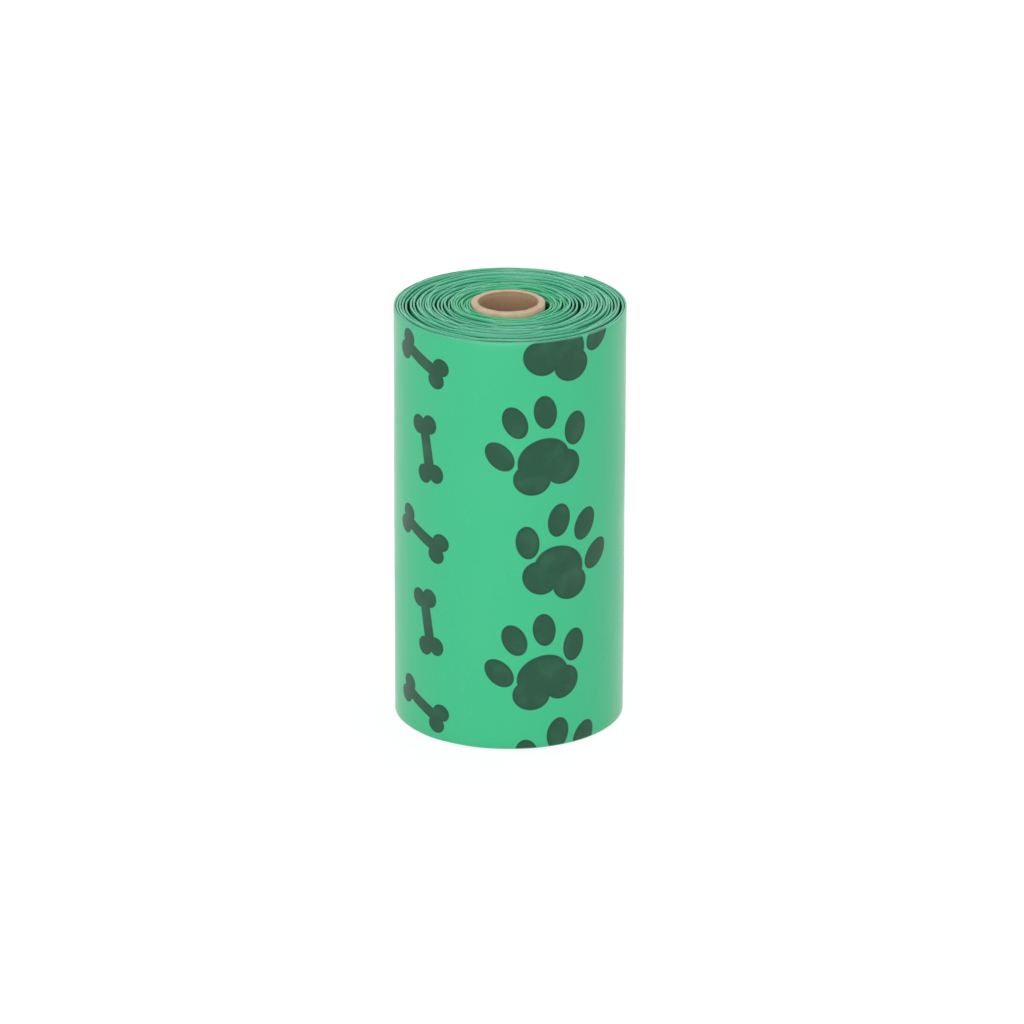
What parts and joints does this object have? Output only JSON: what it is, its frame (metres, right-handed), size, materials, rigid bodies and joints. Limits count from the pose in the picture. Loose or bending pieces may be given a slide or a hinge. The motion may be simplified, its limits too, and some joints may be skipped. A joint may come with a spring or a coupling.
{
  "type": "roll of dog waste bags",
  "caption": "Roll of thin green bags in one long folded film web, wound on an open paper core for a leash or spindle dispenser.",
  "frame": {"origin": "on the core's axis, in the plane of the end that the roll stands on", "axes": "+Z along the core's bore, towards the end where the core stands a little proud; +X to the picture's right, +Y away from its camera"},
  "size_m": [0.0332, 0.0331, 0.0624],
  "materials": {
    "film": "thin green film with a soft sheen, printed with dark green paw prints and bones",
    "core_paper": "plain brown wound paper, matt, with a rough cut rim"
  },
  "bodies": {
    "root": {"bag_web": "film", "core_tube": "core_paper"}
  },
  "joints": []
}
